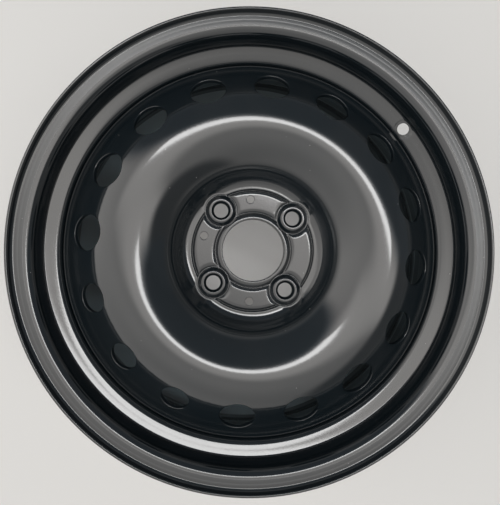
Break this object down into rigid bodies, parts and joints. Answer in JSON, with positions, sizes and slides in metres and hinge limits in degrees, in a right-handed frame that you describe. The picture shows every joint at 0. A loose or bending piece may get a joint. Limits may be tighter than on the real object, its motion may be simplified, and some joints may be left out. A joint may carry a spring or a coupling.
{
  "type": "steel wheel rim",
  "caption": "Black pressed steel car wheel: rolled drop-centre rim with valve hole, welded to a stamped disc with round vents, raised cone-seat bolt bosses and a collared hub bore",
  "frame": {"origin": "centre of the hub bore on the mounting face of the disc", "axes": "+Z is the wheel's axis toward the outer face, +X passes through the valve hole; the wheel lies on its rear flange"},
  "size_m": [0.4406, 0.4404, 0.1879],
  "materials": {
    "rim_paint": "black paint, half gloss, slight orange peel",
    "disc_paint": "black paint, half gloss, slight orange peel",
    "weld_paint": "black paint over rippled weld"
  },
  "bodies": {
    "root": {"rim": "rim_paint", "disc": "disc_paint", "welds": "weld_paint"}
  },
  "joints": []
}
